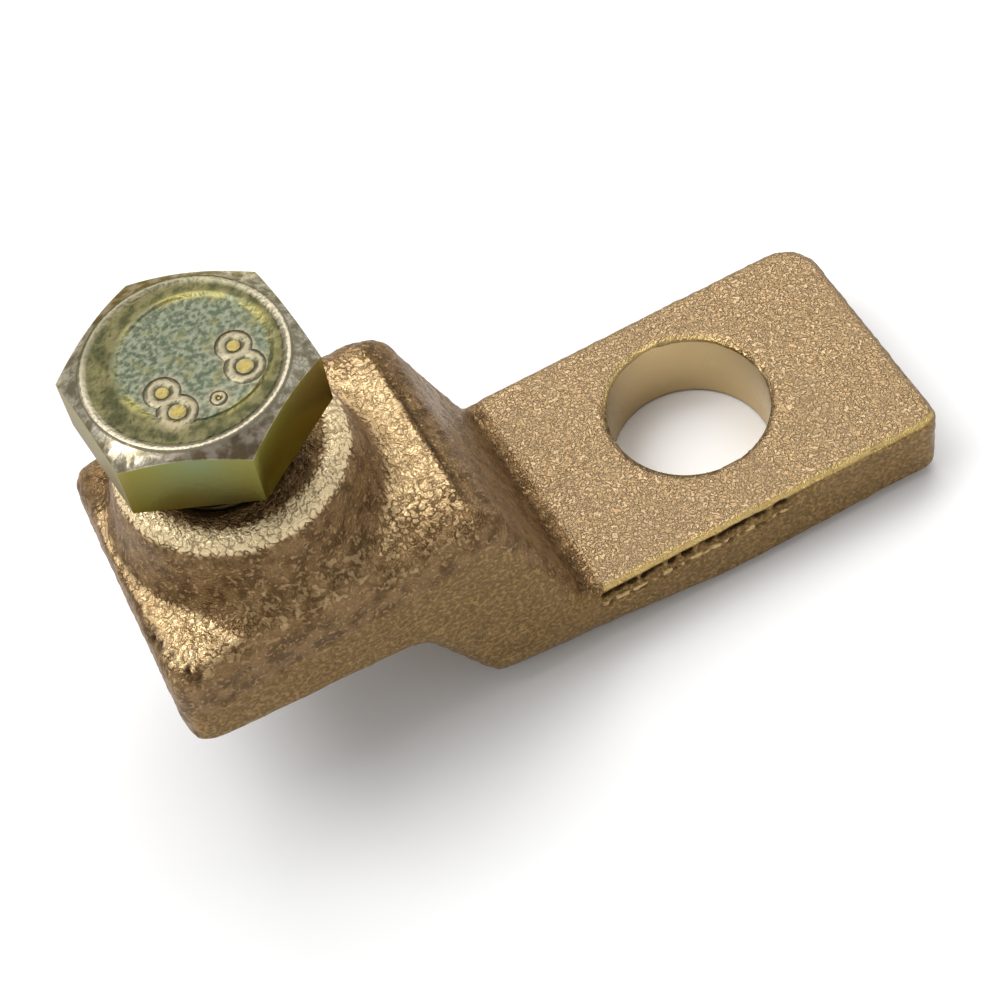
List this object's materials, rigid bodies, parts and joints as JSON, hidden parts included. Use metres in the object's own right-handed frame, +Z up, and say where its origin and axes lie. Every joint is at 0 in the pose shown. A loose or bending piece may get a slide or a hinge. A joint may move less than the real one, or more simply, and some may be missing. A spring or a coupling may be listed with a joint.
{
  "type": "battery ring terminal",
  "caption": "Cast brass offset battery terminal: a flat ring end for a stud, a raised block with a round boss, and a hexagon bolt that clamps a cable lug on the boss.",
  "frame": {"origin": "on the ring hole's axis, in the plane of the ring's underside, which sits on the battery stud's collar", "axes": "+X from the bolt to the ring's free end, along the bar; +Z up along the ring hole and the bolt, towards the bolt head; +Y to the back"},
  "size_m": [0.0524, 0.018, 0.0331],
  "materials": {
    "cast_brass": "sand-cast brass, rough grained skin with brighter rubbed edges",
    "zinc_plated_steel": "yellow-passivated zinc plating with a green and blue sheen"
  },
  "bodies": {
    "terminal": {"terminal_body": "cast_brass"},
    "bolt": {"hex_bolt": "zinc_plated_steel"}
  },
  "joints": [
    {"name": "bolt_travel", "type": "slide", "parent": "terminal", "child": "bolt", "axis": [0, 0, 1], "range_m": [-0.0032, 0.015]}
  ]
}
